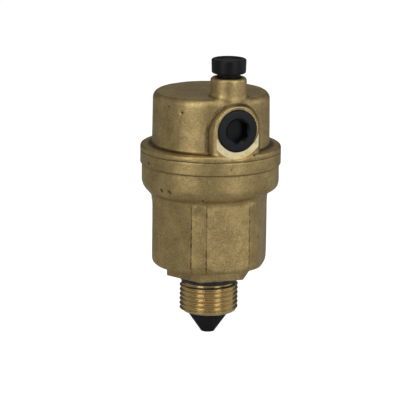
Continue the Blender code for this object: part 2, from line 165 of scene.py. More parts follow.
def cover_parts(x, y, z):
    """Fields of the cover's wall, flange, port pad, vent boss and the skirt inside the body."""
    r = np.hypot(x, y)
    wall_r = COVER_WALL_R - 0.15 * np.clip((z - 37.8) / 12.0, 0.0, 1.0)
    wall = np.maximum(rounded(r - wall_r, z - COVER_TOP_Z, 2.1), 36.0 - z)
    flange = smooth_max(rounded(r - FLANGE_R, z - 37.2, 0.8), SEAM_HIGH - z, 0.2)
    # the pad widens and its arch gets lower towards the wall
    half_width = 6.93 + (y - SPOT_FACE_Y) * 0.25
    arch_z = PORT_Z + 0.43 - (y - SPOT_FACE_Y) * 0.38
    lateral = np.where(z < arch_z, np.abs(x), np.hypot(x, z - arch_z)) - half_width
    pad = rounded(lateral * 0.96, PAD_FACE_Y - y, 2.4)
    pad = np.maximum(np.maximum(pad, y + 8.0), 35.95 - z)
    boss_r = np.hypot(x, y - VALVE_Y)
    boss = np.maximum(rounded(boss_r - BOSS_R, z - BOSS_TOP_Z, 0.95), 45.0 - z)
    ledge = np.maximum(r - 19.68, SEAM_LOW + 0.01 - z)
    skirt = np.maximum(np.minimum(np.maximum(r - 17.2, 32.6 - z), ledge), z - 36.5)
    return wall, flange, pad, boss, skirt


def cover_field(x, y, z):
    wall, flange, pad, boss, skirt = cover_parts(x, y, z)
    shell = smooth_min(wall, flange, 1.1)
    shell = smooth_min(shell, boss, 1.5)
    return np.minimum(smooth_min(shell, pad, 0.8), skirt)


def cover_crease_shade(x, y, z):
    """Painted shade: how much darker the cover is in its creases and fillets, from 0 to about 2."""
    wall, flange, pad, boss, _ = cover_parts(x, y, z)
    off_pad = np.clip((0.65 - np.minimum(np.abs(wall), np.abs(flange))) / 0.3, 0.0, 1.0)
    return np.maximum.reduce(
        [
            2.2 * closeness(wall - 0.35, flange, 1.15) * off_pad,
            2.0 * closeness(smooth_min(wall, boss, 1.5), pad, 0.8),
            0.7 * closeness(wall, boss, 1.0),
            0.9 * closeness(flange, pad, 0.6),
        ]
    )


def value_noise(points, size, seed):
    """Smooth repeatable noise from -1 to 1 with features of this size."""
    lattice = np.random.default_rng(seed).random((LATTICE, LATTICE, LATTICE)) * 2 - 1
    scaled = points / size
    cell = np.floor(scaled).astype(int)
    part = scaled - cell
    part = part * part * (3 - 2 * part)
    total = np.zeros(len(points))
    for dx in (0, 1):
        for dy in (0, 1):
            for dz in (0, 1):
                share = (
                    np.where(dx, part[:, 0], 1 - part[:, 0])
                    * np.where(dy, part[:, 1], 1 - part[:, 1])
                    * np.where(dz, part[:, 2], 1 - part[:, 2])
                )
                corner = (cell + (dx, dy, dz)) % LATTICE
                total += share * lattice[corner[:, 0], corner[:, 1], corner[:, 2]]
    return total


def gradient(field, points):
    """Slope of a field at each point, from differences over a short step."""
    step = 0.02
    slopes = []
    for axis in range(3):
        shift = np.zeros(3)
        shift[axis] = step
        ahead, behind = points + shift, points - shift
        slopes.append((field(*ahead.T) - field(*behind.T)) / (2 * step))
    return np.stack(slopes, -1)


def surface_net(field, low, high, step):
    """Closed quad mesh of a field's zero level, with its points moved onto the level itself."""
    axes = [np.arange(a, b + step, step) for a, b in zip(low, high)]
    grid = np.meshgrid(*axes, indexing="ij")
    values = field(*grid)
    inside = values < 0
    shape = [n - 1 for n in values.shape]
    count = np.zeros(shape, np.int8)
    for i in (0, 1):
        for j in (0, 1):
            for k in (0, 1):
                count += inside[i : shape[0] + i, j : shape[1] + j, k : shape[2] + k]
    active = (count > 0) & (count < 8)
    cells = np.argwhere(active)
    index = np.full(shape, -1, int)
    index[active] = np.arange(len(cells))

    total, hits = np.zeros((len(cells), 3)), np.zeros(len(cells))
    for axis in range(3):
        others = [a for a in range(3) if a != axis]
        for a in (0, 1):
            for b in (0, 1):
                start = cells.copy()
                start[:, others[0]] += a
                start[:, others[1]] += b
                end = start.copy()
                end[:, axis] += 1
                v0, v1 = values[tuple(start.T)], values[tuple(end.T)]
                cross = (v0 < 0) != (v1 < 0)
                point = start[cross].astype(float)
                point[:, axis] += v0[cross] / (v0[cross] - v1[cross])
                total[cross] += point
                hits[cross] += 1
    points = np.array(low) + step * total / hits[:, None]
    for _ in range(3):
        slope = gradient(field, points)
        move = slope * (field(*points.T) / np.maximum((slope * slope).sum(1), 0.3))[:, None]
        points -= np.clip(move, -step / 2, step / 2)

    quads = []
    for axis in range(3):
        u, v = (axis + 1) % 3, (axis + 2) % 3
        first = [slice(None)] * 3
        second = [slice(None)] * 3
        first[axis] = slice(0, -1)
        second[axis] = slice(1, None)
        starts_inside = inside[tuple(first)]
        changes = np.argwhere(starts_inside != inside[tuple(second)])
        outward = starts_inside[tuple(changes.T)]
        corners = []
        for a, b in ((0, 0), (1, 0), (1, 1), (0, 1)):
            cell = changes.copy()
            cell[:, u] -= 1 - a
            cell[:, v] -= 1 - b
            corners.append(index[tuple(cell.T)])
        ring = np.stack(corners, -1)
        ring[~outward] = ring[~outward][:, ::-1]
        quads.append(ring)
    return points, np.concatenate(quads)


# ---------------------------------------------------------------- mesh helpers


def mesh_from_arrays(name, points, faces):
    """Quad mesh object from arrays."""
    mesh = bpy.data.meshes.new(name)
    mesh.vertices.add(len(points))
    mesh.vertices.foreach_set("co", points.astype(np.float32).ravel())
    mesh.loops.add(faces.size)
    mesh.loops.foreach_set("vertex_index", faces.astype(np.int32).ravel())
    mesh.polygons.add(len(faces))
    mesh.polygons.foreach_set("loop_start", np.arange(0, faces.size, faces.shape[1], dtype=np.int32))
    mesh.update(calc_edges=True)
    piece = bpy.data.objects.new(name, mesh)
    bpy.context.scene.collection.objects.link(piece)
    return piece


def arc(centre, radius, start_deg, end_deg, steps=6):
    """Points of an arc, both ends included."""
    angles = [math.radians(start_deg + (end_deg - start_deg) * i / steps) for i in range(steps + 1)]
    return [(centre[0] + radius * math.cos(a), centre[1] + radius * math.sin(a)) for a in angles]


def object_from(builder, name, recalculate=True):
    """Object with the builder's mesh, which ends the builder."""
    if recalculate:
        bmesh.ops.recalc_face_normals(builder, faces=builder.faces)
    mesh = bpy.data.meshes.new(name)
    builder.to_mesh(mesh)
    builder.free()
    piece = bpy.data.objects.new(name, mesh)
    bpy.context.scene.collection.objects.link(piece)
    return piece


def lathe(name, profile, segments=128, centre=(0.0, 0.0), along=None):
    """Solid of revolution from (radius, z) points, with poles at radius 0 or else a closed ring.

    Along -Y, the profile's z is the distance towards the port's mouth.
    """
    builder = bmesh.new()
    rows = []
    for radius, z in profile:
        count = 1 if radius == 0 else segments
        row = []
        for i in range(count):
            angle = math.tau * i / segments
            point = (radius * math.cos(angle), radius * math.sin(angle), z)
            if along == "-Y":
                point = (point[0], -point[2], point[1] + PORT_Z)
            else:
                point = (point[0] + centre[0], point[1] + centre[1], point[2])
            row.append(builder.verts.new(point))
        rows.append(row)
    closed = profile[0][0] > 0 and profile[-1][0] > 0
    pairs = list(zip(rows, rows[1:])) + ([(rows[-1], rows[0])] if closed else [])
    for lower, upper in pairs:
        for i in range(max(len(lower), len(upper))):
            j = i + 1
            ring = [lower[i % len(lower)], lower[j % len(lower)], upper[j % len(upper)], upper[i % len(upper)]]
            builder.faces.new(list(dict.fromkeys(ring)))
    if not closed:
        for row in (rows[0], rows[-1]):
            if len(row) > 1:
                builder.faces.new(row)
    return object_from(builder, name)


def prism(name, outline, low, high):
    """Prism of an outline of (x, z) points round the port's axis, between two distances along -Y."""
    builder = bmesh.new()
    rows = [[builder.verts.new((x, -level, z + PORT_Z)) for x, z in outline] for level in (low, high)]
    count = len(outline)
    for i in range(count):
        j = (i + 1) % count
        builder.faces.new([rows[0][i], rows[0][j], rows[1][j], rows[1][i]])
    builder.faces.new(rows[0])
    builder.faces.new(rows[1])
    return object_from(builder, name)


def cut(piece, *tools, operation="DIFFERENCE"):
    """Boolean with each tool in turn; the result becomes the piece's mesh and the tools are removed."""
    for tool in tools:
        step = piece.modifiers.new(tool.name, "BOOLEAN")
        step.operation = operation
        step.object = tool
        step.solver = "MANIFOLD"
    bpy.context.view_layer.update()
    evaluated = piece.evaluated_get(bpy.context.evaluated_depsgraph_get())
    mesh = bpy.data.meshes.new_from_object(evaluated)
    piece.modifiers.clear()
    old = piece.data
    piece.data = mesh
    bpy.data.meshes.remove(old)
    for tool in tools:
        bpy.data.objects.remove(tool, do_unlink=True)
    return piece


def points_of(piece):
    """A piece's points as an array, in the units of its mesh."""
    co = np.empty(len(piece.data.vertices) * 3, np.float32)
    piece.data.vertices.foreach_get("co", co)
    return co.reshape(-1, 3).astype(float)


def add_attribute(piece, name, values):
    """A number for each point, which a material reads by name."""
    layer = piece.data.attributes.new(name, "FLOAT", "POINT")
    layer.data.foreach_set("value", values.astype(np.float32))


def finish_piece(piece, body, nodes, looks, angle=32.0, pick=None):
    """Shade, paint and attach a piece. Pick chooses a face's look from its centre in millimetres and its normal."""
    mesh = piece.data
    mesh.materials.clear()
    for look in looks:
        mesh.materials.append(look)
    mesh.shade_smooth()
    mesh.set_sharp_from_angle(angle=math.radians(angle))
    if pick:
        count = len(mesh.polygons)
        centres, normals = np.empty(count * 3, np.float32), np.empty(count * 3, np.float32)
        mesh.polygons.foreach_get("center", centres)
        mesh.polygons.foreach_get("normal", normals)
        chosen = pick(centres.reshape(-1, 3), normals.reshape(-1, 3))
        mesh.polygons.foreach_set("material_index", chosen.astype(np.int32))
    mesh.transform(Matrix.Scale(MM, 4))
    mesh.update()
    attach(piece, body)
    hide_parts(*nodes)
    return piece


# ---------------------------------------------------------------- materials


class Look:
    """A Principled material with short calls for its nodes. Lengths in its textures are in millimetres."""

    def __init__(self, name, colour, metallic, roughness):
        self.material = bpy.data.materials.new(name)
        self.material.use_nodes = True
        self.tree = self.material.node_tree
        self.shader = self.tree.nodes["Principled BSDF"]
        self.set("Base Color", (*colour, 1.0))
        self.set("Metallic", metallic)
        self.set("Roughness", roughness)
        self.material.diffuse_color = (*colour, 1.0)
        where = self.add("ShaderNodeTexCoord")
        scale = self.add("ShaderNodeVectorMath", operation="SCALE")
        self.link(where.outputs["Object"], scale.inputs[0])
        scale.inputs["Scale"].default_value = 1000.0
        self.place = scale.outputs[0]
        self.normal = None

    def add(self, kind, **settings):
        node = self.tree.nodes.new(kind)
        for key, value in settings.items():
            setattr(node, key, value)
        return node

    def link(self, source, target):
        self.tree.links.new(source, target)

    def set(self, socket, value):
        self.shader.inputs[socket].default_value = value

    def feed(self, value, socket):
        """A number or an output into a socket."""
        if isinstance(value, (int, float)):
            socket.default_value = value
        elif isinstance(value, tuple):
            socket.default_value = (*value, 1.0) if len(value) == 3 and len(socket.default_value) == 4 else value
        else:
            self.link(value, socket)

    def maths(self, operation, a, b=None):
        node = self.add("ShaderNodeMath", operation=operation)
        self.feed(a, node.inputs[0])
        if b is not None:
            self.feed(b, node.inputs[1])
        return node.outputs[0]

    def noise(self, size, detail=3.0, roughness=0.55, distortion=0.0, stretch=None):
        node = self.add("ShaderNodeTexNoise")
        place = self.place
        if stretch:
            squeeze = self.add("ShaderNodeVectorMath", operation="MULTIPLY")
            self.link(place, squeeze.inputs[0])
            squeeze.inputs[1].default_value = stretch
            place = squeeze.outputs[0]
        self.link(place, node.inputs["Vector"])
        node.inputs["Scale"].default_value = 1.0 / size
        node.inputs["Detail"].default_value = detail
        node.inputs["Roughness"].default_value = roughness
        node.inputs["Distortion"].default_value = distortion
        return node.outputs["Fac"]

    def span(self, value, low, high, to_low=0.0, to_high=1.0):
        node = self.add("ShaderNodeMapRange")
        self.feed(value, node.inputs["Value"])
        for name, number in (("From Min", low), ("From Max", high), ("To Min", to_low), ("To Max", to_high)):
            node.inputs[name].default_value = number
        return node.outputs["Result"]

    def mix(self, share, a, b, blend="MIX"):
        node = self.add("ShaderNodeMix", data_type="RGBA", blend_type=blend)
        self.feed(share, node.inputs["Factor"])
        for value, socket in ((a, node.inputs[6]), (b, node.inputs[7])):
            self.feed(value, socket)
        return node.outputs[2]

    def attribute(self, name):
        return self.add("ShaderNodeAttribute", attribute_name=name).outputs["Fac"]

    def bump(self, height, depth, strength=1.0):
        node = self.add("ShaderNodeBump")
        node.inputs["Strength"].default_value = strength
        node.inputs["Distance"].default_value = depth * MM
        self.link(height, node.inputs["Height"])
        if self.normal is not None:
            self.link(self.normal, node.inputs["Normal"])
        self.normal = node.outputs["Normal"]

    def done(self, colour=None, roughness=None):
        if colour is not None:
            self.link(colour, self.shader.inputs["Base Color"])
        if roughness is not None:
            self.link(roughness, self.shader.inputs["Roughness"])
        if self.normal is not None:
            self.link(self.normal, self.shader.inputs["Normal"])
        return self.material


def cast_brass_look(with_edge_lines):
    """Cast brass: grainy, mottled, with painted shade darkening its creases and pits, and a dark line along the
    seam. The lower body also has lines along its flats.
    """
    look = Look("cast_brass_lines" if with_edge_lines else "cast_brass", (0.42, 0.31, 0.14), 1.0, 0.5)
    broad = look.noise(6.0, 3.0, 0.6, 0.4)
    patches = look.noise(1.7, 4.0, 0.62)
    grain = look.noise(0.32, 3.0, 0.65)
    fine = look.noise(0.13, 2.0, 0.6)
    colour = look.mix(look.span(broad, 0.36, 0.66), (0.425, 0.314, 0.135), (0.61, 0.457, 0.197))
    colour = look.mix(look.span(patches, 0.42, 0.75, 0.0, 0.55), colour, (0.31, 0.22, 0.095))
    colour = look.mix(look.span(grain, 0.5, 0.72, 0.0, 0.62), colour, (0.8, 0.63, 0.32))
    colour = look.mix(look.span(grain, 0.47, 0.3, 0.0, 0.56), colour, (0.22, 0.15, 0.065))
    # painted shade in creases and pits, and the dark seam line, read from the mesh and blotched by the patches
    painted_shade_and_seam = look.maths("MULTIPLY", look.attribute("painted_shade_and_seam"), look.span(patches, 0.2, 0.7, 1.1, 0.7))
    colour = look.mix(look.span(painted_shade_and_seam, 0.1, 0.95, 0.0, 0.9), colour, (0.085, 0.055, 0.026))
    rough = look.span(grain, 0.3, 0.75, 0.5, 0.34)
    look.bump(broad, 0.25, 0.35)
    look.bump(patches, 0.11, 0.7)
    look.bump(grain, 0.048, 1.0)
    look.bump(fine, 0.02, 0.9)
    if with_edge_lines:
        parts = look.add("ShaderNodeSeparateXYZ")
        look.link(look.place, parts.inputs[0])
        angle = look.maths("ARCTAN2", parts.outputs["Y"], parts.outputs["X"])
        angle = look.maths("SUBTRACT", angle, FLAT_CENTRE)
        from_flat = look.maths("PINGPONG", angle, math.pi / 6)
        half_flat = math.acos(FLAT_APOTHEM / LOWER_R)
        off_edge = look.maths("ABSOLUTE", look.maths("SUBTRACT", from_flat, half_flat))
        wander = look.span(look.noise(1.2, 2.0), 0.3, 0.7, -0.12, 0.12)
        distance = look.maths("ADD", look.maths("MULTIPLY", off_edge, LOWER_R), wander)
        line = look.span(look.maths("ABSOLUTE", distance), 0.04, 0.22, 1.0, 0.0)
        height = look.maths(
            "MULTIPLY",
            look.span(parts.outputs["Z"], 2.6, 4.0),
            look.span(parts.outputs["Z"], 23.2, 21.6),
        )
        line = look.maths("MULTIPLY", look.maths("MULTIPLY", line, height), look.span(patches, 0.3, 0.6, 0.65, 1.0))
        line = look.maths("MULTIPLY", line, look.attribute("edge_line"))
        colour = look.mix(look.maths("MULTIPLY", line, 0.9), colour, (0.1, 0.04, 0.02))
        look.bump(line, 0.06, 0.7)
    return look.done(colour, rough)


def machined_brass_look(name, colour, rings, roughness, mark_depth=1.0, turned=False):
    """Turned or milled brass with fine tool marks: rings round Z for a thread, or round the port's axis."""
    look = Look(name, colour, 1.0, roughness)
    wave = look.add("ShaderNodeTexWave", wave_type="RINGS", rings_direction=rings)
    place = look.add("ShaderNodeVectorMath", operation="ADD")
    look.link(look.place, place.inputs[0])
    place.inputs[1].default_value = (0, 0, -PORT_Z) if rings == "Y" else (0, 0, 0)
    look.link(place.outputs[0], wave.inputs["Vector"])
    wave.inputs["Scale"].default_value = 2.2
    wave.inputs["Distortion"].default_value = 0.6
    wave.inputs["Detail"].default_value = 2.0
    stain = look.noise(1.4, 4.0, 0.6)
    smear = look.noise(0.4, 3.0, 0.6, stretch=(1, 1, 3))
    dark = tuple(c * 0.62 for c in colour)
    light = tuple(min(1.0, c * 1.12) for c in colour)
    mottle = 0.3 if turned else 1.0
    shade = look.mix(look.span(stain, 0.35, 0.7, 0.0, 0.5 * mottle), light, dark)
    shade = look.mix(look.span(smear, 0.5, 0.8, 0.0, 0.35 * mottle), shade, tuple(c * 0.5 for c in colour))
    if turned:
        # marks too fine to model spread each highlight up and down
        tangent = look.add("ShaderNodeTangent", direction_type="RADIAL", axis="Z")
        look.link(tangent.outputs["Tangent"], look.shader.inputs["Tangent"])
        look.set("Anisotropic", 0.85)
        look.set("Anisotropic Rotation", 0.25)
    look.bump(wave.outputs["Fac"], 0.012 * mark_depth, 0.5)
    look.bump(stain, 0.02 * mark_depth, 0.5)
    return look.done(shade, look.span(stain, 0.3, 0.75, roughness * 0.8, roughness * 1.5))


def plastic_look(name, colour, roughness):
    """Moulded black plastic with a fine grain and some dust."""
    look = Look(name, colour, 0.0, roughness)
    look.set("Specular IOR Level", 0.22)
    mould = look.noise(0.22, 3.0, 0.6)
    wave = look.noise(2.6, 3.0, 0.55)
    dust = look.noise(0.5, 4.0, 0.7)
    paler = tuple(c * 1.6 + 0.006 for c in colour)
    shade = look.mix(look.span(wave, 0.35, 0.7, 0.0, 0.5), colour, tuple(c * 1.4 for c in colour))
    shade = look.mix(look.span(dust, 0.58, 0.8, 0.0, 0.6), shade, paler)
    look.bump(wave, 0.06, 0.3)
    look.bump(mould, 0.012, 0.8)
    return look.done(shade, look.span(dust, 0.3, 0.75, roughness * 0.85, roughness * 1.35))


def rubber_look():
    """Black rubber with a pale bloom."""
    look = Look("black_rubber", (0.02, 0.021, 0.026), 0.0, 0.42)
    skin = look.noise(0.35, 3.0, 0.6)
    bloom = look.noise(1.8, 3.0, 0.6)
    shade = look.mix(look.span(bloom, 0.4, 0.7), (0.016, 0.017, 0.021), (0.034, 0.036, 0.045))
    look.bump(skin, 0.012, 0.7)
    return look.done(shade, look.span(skin, 0.3, 0.7, 0.34, 0.5))


def steel_look():
    """Stainless steel, brushed along X."""
    look = Look("stainless_steel", (0.55, 0.55, 0.54), 1.0, 0.3)
    brushed = look.noise(0.09, 3.0, 0.6, stretch=(0.12, 1, 1))
    spots = look.noise(1.1, 3.0, 0.6)
    shade = look.mix(look.span(spots, 0.35, 0.7), (0.62, 0.62, 0.61), (0.46, 0.46, 0.46))
    look.bump(brushed, 0.008, 0.6)
    return look.done(shade, look.span(brushed, 0.3, 0.7, 0.24, 0.38))


CAST = cast_brass_look(False)
CAST_LINES = cast_brass_look(True)
SPOT_FACED = machined_brass_look("machined_brass", (0.93, 0.79, 0.49), "Y", 0.34, 0.4)
BORED = machined_brass_look("bored_brass", (0.66, 0.5, 0.24), "Z", 0.3)
THREADED = machined_brass_look("threaded_brass", (0.7, 0.55, 0.285), "Z", 0.2, 0.01, True)
CAP_PLASTIC = plastic_look("black_plastic", (0.006, 0.006, 0.0065), 0.36)
PLUG_PLASTIC = plastic_look("plug_plastic", (0.011, 0.0125, 0.015), 0.4)
# a darker copy of the plug's plastic, which paints shade inside the socket
SOCKET_SHADE_PLASTIC = plastic_look("socket_painted_shade", (0.0022, 0.0026, 0.0034), 0.3)
FLOAT_PLASTIC = plastic_look("float_plastic", (0.011, 0.011, 0.0115), 0.5)
RUBBER = rubber_look()
STEEL = steel_look()


# ---------------------------------------------------------------- castings

# Small casting pits: angle round Z in degrees, height, radius and depth
BODY_PITS = (
    (-151.0, 26.2, 0.6, 0.42),
    (-159.5, 26.3, 0.55, 0.38),
    (-175.0, 33.1, 0.5, 0.2),
    (-121.0, 24.6, 0.3, 0.09),
    (-98.0, 33.6, 0.25, 0.08),
    (-60.0, 12.5, 0.3, 0.08),
    (40.0, 14.0, 0.35, 0.12),
    (95.0, 29.0, 0.4, 0.12),
    (150.0, 9.0, 0.3, 0.1),
)
# How dark the line is along a flat's edge, by the edge's angle
EDGE_LINES = ((-177.5, 0.2), (-132.5, 1.3), (-117.5, 0.9), (-72.5, 0.7), (-57.5, 0.3))
COVER_PITS = (
    (-144.2, 48.4, 0.42, 0.25),
    (-76.4, 37.3, 0.45, 0.2),
    (-160.0, 49.6, 0.3, 0.08),
    (-60.0, 40.2, 0.3, 0.08),
    (30.0, 44.0, 0.35, 0.1),
    (110.0, 48.0, 0.4, 0.12),
)


def roughen(points, field, pits, seed):
    """Give a casting's points its waviness and pits; returns the points and how far each lies in a pit."""
    slope = gradient(field, points)
    normal = slope / np.maximum(np.linalg.norm(slope, axis=1), 0.2)[:, None]
    height = 0.035 * value_noise(points, 5.0, seed) + 0.018 * value_noise(points, 1.7, seed + 1)
    height += 0.009 * value_noise(points, 0.7, seed + 2)
    angle = np.degrees(np.arctan2(points[:, 1], points[:, 0]))
    reach = np.hypot(points[:, 0], points[:, 1])
    in_pit = np.zeros(len(points))
    for at, level, radius, depth in pits:
        around = np.radians((angle - at + 180.0) % 360.0 - 180.0) * reach
        apart = np.hypot(around, points[:, 2] - level)
        share = np.exp(-((apart / radius) ** 2)) * (reach > 14.0)
        height -= depth * share
        in_pit = np.maximum(in_pit, share)
    return points + normal * height[:, None], in_pit


def casting(name, field, low_z, high_z, pits, seed):
    """Mesh a casting's field, with its waviness and pits; also returns its points and how far each is in a pit."""
    low, high = (-GRID_REACH, -GRID_REACH, low_z), (GRID_REACH, GRID_REACH, high_z)
    points, quads = surface_net(field, low, high, GRID)
    points, in_pit = roughen(points, field, pits, seed)
    return mesh_from_arrays(name, points, quads), points, in_pit


def nearest_values(piece, points, values):
    """Carry per-point values to a cut piece by position, with zero on points that the cut made."""
    known = {tuple(p): v for p, v in zip(np.round(points, 3).tolist(), values.tolist()) if v > 0.02}
    return np.array([known.get(tuple(p), 0.0) for p in np.round(points_of(piece), 3).tolist()])


def make_body():
    """Lower housing: the casting with its cavity, bore and seal seat cut, and its faces given their look."""
    piece, points, in_pit = casting("body_casting", body_field, -0.9, 36.3, BODY_PITS, 11)
    cavity = lathe(
        "cavity",
        [
            (0, -5.0),
            (5.3, -5.0),
            (5.3, 4.2),
            (12.4, 4.2),
            (13.2, 5.0),
            (13.2, 26.4),
            (14.7, 27.6),
            (14.7, 30.4),
            (17.5, 30.4),
            (17.5, 38.0),
            (0, 38.0),
        ],
    )
    seat = lathe("seal_seat", [(0, -3.0), (8.4, -3.0), (8.4, 0.0), (0, 0.0)])
    cut(piece, cavity, seat)
    co = points_of(piece)
    # painted shade: darker in the creases and in the casting pits
    painted_shade_and_seam = np.clip(body_crease_shade(*co.T), 0, 1)
    painted_shade_and_seam = np.maximum(painted_shade_and_seam, np.minimum(1.5 * nearest_values(piece, points, in_pit), 1.0))
    # a dark line along the seam at the top of the body
    painted_shade_and_seam = np.maximum(painted_shade_and_seam, 0.5 * np.clip((co[:, 2] - SEAM_LOW + 0.14) / 0.12, 0, 1))
    # darker at the bottom, below 2 mm
    painted_shade_and_seam = np.maximum(painted_shade_and_seam, 0.25 * (co[:, 2] < 2.0))
    add_attribute(piece, "painted_shade_and_seam", painted_shade_and_seam)
    angle = np.degrees(np.arctan2(co[:, 1], co[:, 0]))
    share = np.full(len(co), 0.55)
    for at, strength in EDGE_LINES:
        share[np.abs((angle - at + 180.0) % 360.0 - 180.0) < 6.0] = strength
    add_attribute(piece, "edge_line", share)

    def pick(centres, normals):
        reach = np.hypot(centres[:, 0], centres[:, 1])
        bored = (reach < 13.4) & (centres[:, 2] > 4.1) & (centres[:, 2] < 30)
        bored |= reach < 5.5
        bored |= (reach < 17.6) & (centres[:, 2] > 27.0)
        bored |= (reach < 8.5) & (centres[:, 2] < 1.0)
        bored &= ~((normals[:, 2] > 0.9) & (centres[:, 2] > 35.0))
        return bored.astype(int)

    finish_piece(piece, "housing", ["body"], [CAST_LINES, BORED], pick=pick)


def make_cover():
    """Cover: the casting with its air space, vent bore, port bore and spot face cut."""
    piece, points, in_pit = casting("cover_casting", cover_field, 32.0, 58.9, COVER_PITS, 23)
    air_space = lathe(
        "air_space",
        [(0, 30.0), (14.9, 30.0), (14.9, 35.2), (14.2, 36.0), *arc((13.6, 48.6), 0.6, 0, 90), (0, 49.2)],
    )
    vent_bore = lathe(
        "vent_bore",
        [(0, 47.0), (2.35, 47.0), (2.35, 51.9), (1.0, 51.9), (1.0, 53.4), (3.55, 53.4), (3.55, 57.5)]
        + [(3.8, 57.75), (3.8, 61.0), (0, 61.0)],
        96,
        (0.0, VALVE_Y),
    )
    port_bore = lathe(
        "port_bore",
        [(0, 10.0), (5.1, 10.0), (5.1, 15.7), (5.95, 15.7), (5.95, 17.6), (SPOT_FACE_R, 17.6), (SPOT_FACE_R, 22.0)]
        + [(0, 22.0)],
        160,
        along="-Y",
    )
    # a slightly off-centre recess, which leaves a thin bright rim over the plug
    relief = lathe("relief", [(0, 17.3), (6.45, 17.3), (6.45, 19.0), (0, 19.0)], 160, along="-Y")
    for vertex in relief.data.vertices:
        vertex.co.z = PORT_Z + (vertex.co.z - PORT_Z) * 0.953 + 0.45
    side_step = prism("side_step", [(-8.0, -1.3), (-5.0, -2.0), (-5.0, 3.0), (-8.0, 5.0)], 17.35, 19.5)
    cut(piece, air_space, vent_bore, port_bore, relief, side_step)
    co = points_of(piece)
    # painted shade: darker in the creases and fillets and in the casting pits
    painted_shade_and_seam = np.clip(cover_crease_shade(*co.T), 0, 1)
    painted_shade_and_seam = np.maximum(painted_shade_and_seam, np.minimum(1.5 * nearest_values(piece, points, in_pit), 1.0))
    # a dark line along the seam at the foot of the cover
    painted_shade_and_seam = np.maximum(painted_shade_and_seam, 0.5 * np.clip((SEAM_HIGH + 0.14 - co[:, 2]) / 0.12, 0, 1))
    add_attribute(piece, "painted_shade_and_seam", painted_shade_and_seam)

    def pick(centres, normals):
        x, y, z = centres.T
        reach = np.hypot(x, y)
        from_port = np.hypot(x, z - PORT_Z)
        spot = (np.abs(y - SPOT_FACE_Y) < 0.02) & (np.abs(normals[:, 1]) > 0.9) & (from_port < SPOT_FACE_R)
        bored = (np.hypot(x, y - VALVE_Y) < 3.8) & (z > 49.0) & (z < 58.1)
        bored |= (reach < 14.25) & (z < 49.25) & (z > 35.9)
        bored |= (reach < 17.25) & (z < 36.0)
        chosen = np.zeros(len(x), int)
        chosen[bored] = 2
        chosen[spot] = 1
        return chosen

    finish_piece(piece, "housing", ["cover"], [CAST, SPOT_FACED, BORED], pick=pick)


# ---------------------------------------------------------------- turned pieces


def make_nipple():
    """Threaded nipple: a skin whose rows follow the helix, cut to length and chamfered by an envelope."""
    per_turn, segments, turns = 14, 128, 11
    shape = []
    for k in range(per_turn):
        share = abs((k / per_turn) * 2 - 1)
        # flat crest, straight flanks, rounded root
        flank = np.clip((share - 0.16) / 0.72, 0, 1)
        depth = flank if flank < 0.9 else 0.9 + 0.1 * math.sin((flank - 0.9) * 5 * math.pi)
        shape.append(CREST_R + (ROOT_R - CREST_R) * depth)
    rows = per_turn * turns
    top = 1.6
    points = []
    for j in range(rows + 1):
        for i in range(segments):
            angle = math.tau * i / segments
            z = top - PITCH * j / per_turn + PITCH * i / segments
            radius = shape[j % per_turn]
            points.append((radius * math.cos(angle), radius * math.sin(angle), z))
    faces = []
    for j in range(rows):
        for i in range(segments - 1):
            a = j * segments + i
            faces.append((a, a + segments, a + segments + 1, a + 1))
    builder = bmesh.new()
    verts = [builder.verts.new(p) for p in points]
    for face in faces:
        builder.faces.new([verts[k] for k in face])
    for j in range(per_turn, rows):
        a = j * segments + segments - 1
        lower = (j - per_turn) * segments
        builder.faces.new([verts[a], verts[a + segments], verts[lower + segments], verts[lower]])
    bmesh.ops.holes_fill(builder, edges=[e for e in builder.edges if e.is_boundary], sides=0)
    piece = object_from(builder, "nipple_thread")
    envelope = lathe(
        "envelope",
        [
            (5.3, 0.6),
            (6.05, 0.6),
            (6.05, -2.0),
            (7.3, -2.1),
            (7.3, -2.85),
            (7.7, -2.9),
            (8.6, -3.45),
            (8.6, -10.15),
            (7.3, -11.1),
            (6.75, -11.1),
            (6.6, -10.95),
            (6.6, -5.2),
            (5.3, -4.2),
        ],
        160,
    )
    cut(piece, envelope, operation="INTERSECT")
    finish_piece(piece, "housing", ["body"], [THREADED], angle=26)


def make_seal():
    """O-ring under the spanner hexagon."""
    profile = arc((7.06, -1.33), 1.26, 0, 360, 28)[:-1]
    piece = lathe("inlet_seal", profile, 160)
    finish_piece(piece, "housing", ["nipple_o_ring"], [RUBBER])


def make_nose():
    """Black cone at the lower end of the float, a little off the housing's axis."""
    profile = [
        (0, -12.8),
        (1.7, -12.8),
        (1.7, -9.9),
        (5.6, -9.9),
        *arc((5.85, -10.2), 0.3, 90, 0, 4),
        (6.17, -10.95),
        *arc((5.95, -11.05), 0.25, -5, -35, 3),
        (2.02, -17.12),
        *arc((1.87, -17.15), 0.15, -35, -90, 3),
        (0, -17.3),
    ]
    piece = lathe("float_nose_cone", profile, 96, (-0.15, 0.07))
    finish_piece(piece, "float", ["float_nose"], [FLOAT_PLASTIC])


def make_cap():
    """Black screw cap of the vent, with its neck and the groove for the O-ring."""
    profile = [
        (0, 62.62),
        (3.1, 62.62),
        *arc((3.1, 62.82), 0.2, -90, -20, 3),
        (3.42, 62.93),
        (3.6, CAP_TOP_Z),
        *arc((CAP_R - 0.55, CAP_TOP_Z - 0.55), 0.55, 90, 0, 8),
        (CAP_R - 0.09, CAP_LOW_Z + 0.55),
        *arc((CAP_R - 0.55, CAP_LOW_Z + 0.5), 0.46, 0, -75, 5),
        (4.1, CAP_LOW_Z + 0.02),
        (3.5, CAP_LOW_Z),
        *arc((3.5, CAP_LOW_Z - 0.25), 0.25, 90, 180, 4),
        (3.2, 57.3),
        (2.6, 57.3),
        (2.6, 56.5),
        (3.2, 56.5),
        (3.2, 53.9),
        (1.5, 53.9),
        (1.5, 60.4),
        (0, 60.4),
    ]
    piece = lathe("vent_cap_knob", profile, 128, (0.0, VALVE_Y))
    finish_piece(piece, "vent_cap", ["vent_cap"], [CAP_PLASTIC])


